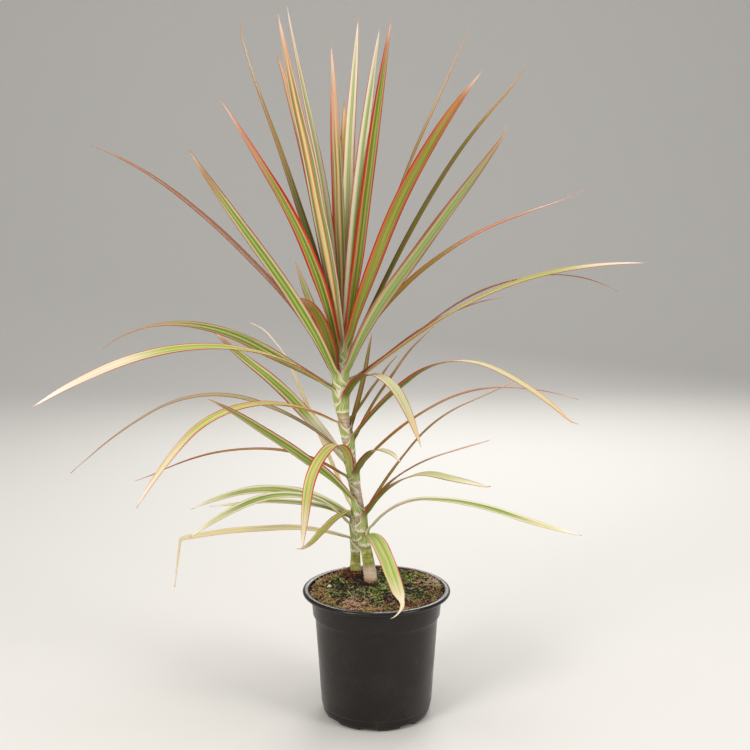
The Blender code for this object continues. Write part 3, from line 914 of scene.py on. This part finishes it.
def centreline(leaf, stem):
    """Points and directions along a leaf from its root, as in the part's own rule but in finer steps."""
    place, radius = stem_at(stem, leaf.height)
    heading = math.radians(leaf.heading)
    out = Vector((math.cos(heading), math.sin(heading), 0))
    half_root = ROOT_SHARE * leaf.length * THICKNESS_SHARE / 2
    clear = GAP + half_root * math.sin(math.radians(leaf.slopes[0]))
    point = place + out * (radius + clear)
    bend_start, bend = leaf.bend
    rows = []
    for index in range(LEAF_STEPS + 1):
        share = index / LEAF_STEPS
        slope = math.radians(slope_at(leaf, share) + bend * smooth_step(share, bend_start, 1.001))
        curl = math.radians(leaf.curl * max(0, share - CURL_START) / (1 - CURL_START))
        level = Vector((math.cos(heading + curl), math.sin(heading + curl), 0))
        way = level * math.cos(slope) + Vector((0, 0, math.sin(slope)))
        rows.append((share, point.copy(), way, Vector((-level.y, level.x, 0))))
        point += way * leaf.length / LEAF_STEPS
    return rows


def leaf_finish(name, leaf, seed):
    """Striped tissue: a lime heart, pale lines and thin red margins, a pale sheath and a blushed tip."""
    look = LOOKS[leaf.look]
    made = plain_finish(f"{name}_tissue", tint(*look.stripes[0][1]), 0.58)
    nodes = Nodes(made)
    spot = nodes.add("ShaderNodeUVMap", uv_map="blade")

    def strands(across, along, shift, detail):
        size = (across, along, 1)
        drawn = nodes.add("ShaderNodeMapping", Vector=spot, Scale=size, Location=(shift, shift, 0))
        return nodes.noise(drawn, 1.0, detail)

    across = nodes.add("ShaderNodeSeparateXYZ", "X", _0=spot)
    along = across.node.outputs["Y"]
    wander = strands(1, 4, seed, 1)
    bands = strands(11, 0.9, seed + 3, 2)
    threads = strands(34, 3, seed + 5, 2)
    lines = strands(19, 0.6, seed + 9, 1)
    drift = nodes.maths("MULTIPLY_ADD", wander, 0.36, -0.18)
    from_rib = nodes.maths("ABSOLUTE", nodes.maths("ADD", nodes.maths("MULTIPLY_ADD", across, 2, -1), drift))
    calm = nodes.span(from_rib, 0.7, 0.95, 0.55, 0.18)
    spread = nodes.maths("MULTIPLY_ADD", nodes.maths("SUBTRACT", bands, 0.5), calm, from_rib)
    unevenly = nodes.maths("SUBTRACT", threads, 0.5)
    spread = nodes.maths("MULTIPLY_ADD", unevenly, 0.2, spread)
    tissue = nodes.ramp(spread, [(place, tint(*colour)) for place, colour in look.stripes])
    inner = nodes.span(spread, 0.7, 0.85, look.lined, 0.0)
    pale = nodes.maths("MULTIPLY", nodes.span(lines, 0.56, 0.68, 0.0, 0.5), inner)
    dark = nodes.maths("MULTIPLY", nodes.span(lines, 0.32, 0.44, 0.42, 0.0), inner)
    tipward = nodes.maths("MULTIPLY_ADD", nodes.maths("SUBTRACT", bands, 0.5), 0.16, along)
    flushed = nodes.span(tipward, leaf.fade - 0.14, leaf.fade + 0.05)
    shy = nodes.span(spread, 0.8, 0.94, 0.86, 0.25)
    tissue = nodes.mix(nodes.maths("MULTIPLY", flushed, shy), tissue, tint(*look.flush))
    tissue = nodes.mix(pale, tissue, tint(*LINE_PALE))
    tissue = nodes.mix(dark, tissue, tint(*LINE_DARK))
    tipped = nodes.span(tipward, (1 + leaf.fade) / 2 - 0.04, 0.985)
    tissue = nodes.mix(nodes.maths("MULTIPLY", tipped, shy), tissue, tint(*look.tip))
    if leaf.dry < 1:
        straw = nodes.mix(threads, tint(*look.flush), tint(*look.tip))
        tissue = nodes.mix(nodes.span(tipward, leaf.dry - 0.02, leaf.dry + 0.08), tissue, straw)
    tissue = nodes.mix(nodes.span(along, 0.975, 0.995, 0.0, 0.7), tissue, tint(*TIP_BROWN))
    rim = nodes.span(from_rib, 0.62, 0.86)
    base = nodes.mix(nodes.span(lines, 0.44, 0.58), tint(*SHEATH_GREEN), tint(*SHEATH_CREAM))
    base = nodes.mix(rim, base, tint(*SHEATH_WHITE))
    tissue = nodes.mix(nodes.span(along, -0.03, 0.07, 0.9, 0.0), tissue, base)
    bleached = nodes.span(along, leaf.pale - 0.12, leaf.pale, 0.75, 0.0)
    tissue = nodes.mix(bleached, tissue, tint(*SHEATH_WHITE))
    ragged = nodes.maths("MULTIPLY_ADD", unevenly, 0.6, nodes.maths("DIVIDE", along, SHEATH_SHARE))
    tissue = nodes.mix(nodes.span(ragged, -0.86, -0.66, 0.95, 0.0), tissue, tint(*SHEATH_WHITE))
    # Painted shadow: a dark band along the bottom of each sheath's ragged lower edge.
    tissue = nodes.mix(nodes.span(ragged, -1.06, -0.94, 0.8, 0.0), tissue, tint(*SHEATH_SHADE))
    nodes.finish(Base_Color=tissue, Specular_IOR_Level=SHEEN)
    return made


def build_leaf(name, leaf, stem, seed):
    """A strap leaf on the part's own line, clasping the stem below its root."""
    rng = random.Random(seed)
    rows = centreline(leaf, stem)
    steps = SHEATH_STEPS + LEAF_STEPS
    shape = grid(LEAF_ACROSS, steps)
    uv_map = shape.loops.layers.uv["blade"]
    for face in shape.faces:
        for loop in face.loops:
            loop[uv_map].uv.y = (loop[uv_map].uv.y * steps - SHEATH_STEPS) / LEAF_STEPS
    heading = math.radians(leaf.heading)
    root_rise = math.sin(math.radians(leaf.slopes[0]))
    sheath = min(SHEATH_LENGTH, leaf.length * 0.08)
    ripple, phase = rng.uniform(0.1, 0.3), rng.uniform(0, 6)
    for vert in shape.verts:
        side, station = 2 * vert.co.x - 1, round(vert.co.y * steps) - SHEATH_STEPS
        share, point, way, across = rows[max(station, 0)]
        down = max(-station, 0) / SHEATH_STEPS
        side_way = Matrix.Rotation(math.radians(turn_at(leaf, share)), 3, way) @ across
        face_way = way.cross(side_way)
        half = leaf.width / 2 * width_share(share)
        trough = TROUGH_ROOT - TROUGH_LOSS * smooth_step(share, 0.02, 0.45)
        wave = ripple * math.sin(share * 17 + phase + side * 1.5) * side * smooth_step(share, 0.1, 0.4)
        withered = smooth_step(share, leaf.dry, leaf.dry + WITHER_STEP)
        half *= 1 - WITHERED_SHARE * withered
        trough += 0.5 * withered
        wave += 0.3 * withered * math.sin(share * 34 + phase)
        blade = point + side_way * side * half + face_way * (trough * half * abs(side) ** 1.4 + wave)
        clasp = 1 - smooth_step(share, 0.0, CLASP_LENGTH / leaf.length)
        if clasp > 0:
            height = leaf.height - down * sheath + share * leaf.length * root_rise
            centre, radius = stem_at(stem, height)
            flare = radius + 0.25 + 0.8 * (1 - down) + 0.3 * share * leaf.length / CLASP_LENGTH
            wrapped = CLASP_HALF_ANGLE + SHEATH_WRAP * smooth_step(down, 0, 0.8)
            facing = heading + math.radians(wrapped) * side
            hug = centre + Vector((math.cos(facing), math.sin(facing), 0)) * flare
            hug.z += RAGGED * noise.noise((side * 5, seed, 0)) * down
            blade = blade.lerp(hug, clasp)
        vert.co = blade * MM
    piece = placed(f"{name}_blade", shape, leaf_finish(name, leaf, seed))
    wall = piece.modifiers.new("Thickness", "SOLIDIFY")
    wall.thickness = LEAF_THICKNESS * MM
    wall.offset = 0
    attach(piece, "root")
    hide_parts(name)


def build_leaves(group, leaves, stem, seed):
    for number, leaf in enumerate(leaves, 1):
        build_leaf(f"{group}_{number:02d}", leaf, stem, seed + number)


# Crown. The youngest leaves stand up in a sheaf round the growing point, steepest at its heart and
# leaning outwards round it, their red margins showing edge on.
CROWN_LEAVES = (
    Leaf(293, 165, 272, (80, 73, 69, 74), turn=(-16, 10), look="olive", fade=0.58, bend=(0.95, 50)),
    Leaf(295, 221, 220, (77, 65, 53, 52), 12, turn=(18, -6), look="red", fade=0.78),
    Leaf(303, 241, 253, (76, 71, 68, 71), 11.5, look="sunny", fade=0.9),
    Leaf(309, 192, 253, (86, 83, 77, 81), turn=(-40, -40), look="silver", fade=0.9),
    Leaf(298, 135, 248, (81, 76, 70, 64), turn=(-20, -20), look="sage", fade=0.78),
    Leaf(276, 236, 236, (56, 46, 42, 47), 10.5, turn=(18, 16), look="striped", fade=0.88),
    Leaf(275, 168, 280, (66, 46, 38, 20), turn=(-6, -6), look="rosewood", fade=0.85),
    Leaf(316, 251, 216, (87, 86, 82, 82), 7.5, look="sunny", fade=0.74),
    Leaf(312, 112, 196, (84, 86, 82, 79), look="red", fade=0.8),
    Leaf(305, 88, 190, (82, 83, 85, 84), look="olive", fade=0.75),
    Leaf(318, 55, 239, (88, 88, 84, 82), look="silver"),
    Leaf(311, 306, 233, (80, 82, 77, 75), look="silver"),
    Leaf(302, 322, 249, (79, 81, 80, 79), turn=(-15, -15), look="red", fade=0.93),
    Leaf(299, 48, 227, (78, 79, 79, 79), look="olive", fade=0.8),
    Leaf(293, 6, 270, (75, 72, 66, 66), turn=(4, 4), look="ochre", fade=0.76),
    Leaf(299, 318, 244, (68, 64, 53, 41), 11.5, turn=(-25, -30), look="ember", fade=0.84),
    Leaf(290, 15, 276, (63, 63, 54, 43), turn=(4, 4), look="olive", fade=0.84, bend=(0.86, 14)),
    Leaf(277, 310, 252, (62, 44, 43, 44), 11.5, turn=(-20, -14), look="sage", fade=0.93, bend=(0.95, 55)),
    Leaf(286, 10, 246, (62, 43, 22, 16), 9, turn=(14, -1), look="amber", fade=0.58, bend=(0.9, 18)),
    Leaf(285, 130, 98, (50, 56, 57, 60), 6.5, turn=(-40, -40), look="sage", fade=0.9),
    Leaf(279, 225, 85, (79, 70, 49, -8), 10.5, turn=(30, 30), curl=-40, look="amber", fade=0.8),
)
build_leaves("crown_leaf", CROWN_LEAVES, MAIN, 100)

# Middle leaves. Older leaves arch out from the upper cane and hang by their own weight, the oldest
# folded over or dry for part of their length.
MIDDLE_LEAVES = (
    Leaf(268, 0, 261, (39, 34, 15, -2), turn=(0, 28), look="lime", fade=0.84),
    Leaf(272, 15, 258, (32, 36, 9, -27), 6, turn=(-5, 2), look="rosewood", fade=0.85),
    Leaf(264, 32, 174, (39, 31, 19, 4), 6, turn=(-14, 2), look="rosewood", fade=0.85),
    Leaf(221, 37, 125, (61, 50, 45, 30), 5, turn=(-13, -13), look="ochre", fade=0.6),
    Leaf(238, 40, 72, (50, 47, 44, 40), 5, turn=(-14, -14), look="ochre", fade=0.5),
    Leaf(226, 330, 224, (52, 38, -20, -42), 10, turn=(-12, 24), look="apricot", fade=0.52, bend=(0.94, 35)),
    Leaf(200, 25, 232, (45, 25, -5, -19), 6.5, turn=(-10, 6), look="amber", fade=0.66),
    Leaf(163, 33, 200, (53, 43, 14, 18), 6, turn=(-21, -8), look="ochre", fade=0.75),
    Leaf(258, 305, 128, (60, 10, -44, -60), look="apricot", fade=0.46),
    Leaf(196, 305, 72, (64, 40, 2, -28), 9, look="pistachio", fade=0.56),
    Leaf(230, 60, 86, (62, 60, 70, 70), 4.5, look="ochre"),
    Leaf(264, 200, 248, (42, 11, -16, -32), turn=(-8, -54), look="lime", fade=0.68),
    Leaf(266, 170, 210, (28, 28, 0, -38), 12, turn=(-34, 0), look="green", fade=0.7, dry=0.76),
    Leaf(203, 148, 172, (47, 40, 29, 34), turn=(-30, -30), look="striped", fade=0.9, pale=0.36),
    Leaf(213, 183, 250, (44, 19, -30, -44), 8, turn=(-12, 0), look="umber", fade=0.5, dry=0.84),
    Leaf(174, 224, 173, (48, 35, 34, 28), turn=(25, 25), look="striped"),
    Leaf(238, 206, 198, (32, 5, -42, -60), 10, turn=(-8, -30), look="honey", fade=0.74),
    Leaf(192, 165, 200, (34, 2, -18, -30), 7, turn=(0, -8), look="amber", fade=0.9, bend=(0.86, 10)),
    Leaf(201, 240, 130, (88, -15, -74, -84), look="honey", fade=0.82),
)
build_leaves("middle_leaf", MIDDLE_LEAVES, MAIN, 200)

# Lower leaves. The lowest leaves of the main cane reach out over the pot's rim, with the widest
# one bent down in front and its dry tip curled against the rim.
LOWER_LEAVES = (
    Leaf(160, 40, 157, (54, 18, 4, 6), 6, turn=(-24, 0), look="ochre", fade=0.6),
    Leaf(160, 315, 148, (58, 33, 0, -2), 10, turn=(0, 26), look="pistachio", fade=0.4, bend=(0.93, 20)),
    Leaf(148, 340, 186, (60, 4, -14, -8), 10, turn=(0, 30), look="cream", fade=0.8),
    Leaf(146, 294, 100, (22, -32, -46, -20), 13.4, curl=-120, look="front", fade=0.7, dry=0.72),
)
build_leaves("lower_leaf", LOWER_LEAVES, MAIN, 300)

# Second stem's leaves. The short side cane carries six softer, paler leaves, one of them creased
# over near its tip.
SECOND_STEM_LEAVES = (
    Leaf(163, 137, 200, (56, 58, 56, 10), 5, turn=(10, 10), look="straw", dry=0.6),
    Leaf(163, 226, 66, (0, -22, -36, 15), 8, look="lime"),
    Leaf(157, 160, 157, (30, 6, -16, -28), turn=(-26, -32), look="cream", fade=0.8),
    Leaf(155, 178, 120, (31, 7, -5, -7), 8, turn=(-12, -12), look="cream", fade=0.7),
    Leaf(148, 203, 152, (58, 16, -19, -33), turn=(-12, -24), look="cream", fade=0.8),
    Leaf(138, 188, 181, (21, 1, -7, -7), 9, turn=(-12, -16), fold=(0.77, 75), look="straw", fade=0.8),
)
build_leaves("second_stem_leaf", SECOND_STEM_LEAVES, SECOND, 400)

# Sizes. The box round every shown piece, the backdrop left out.
low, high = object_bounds()
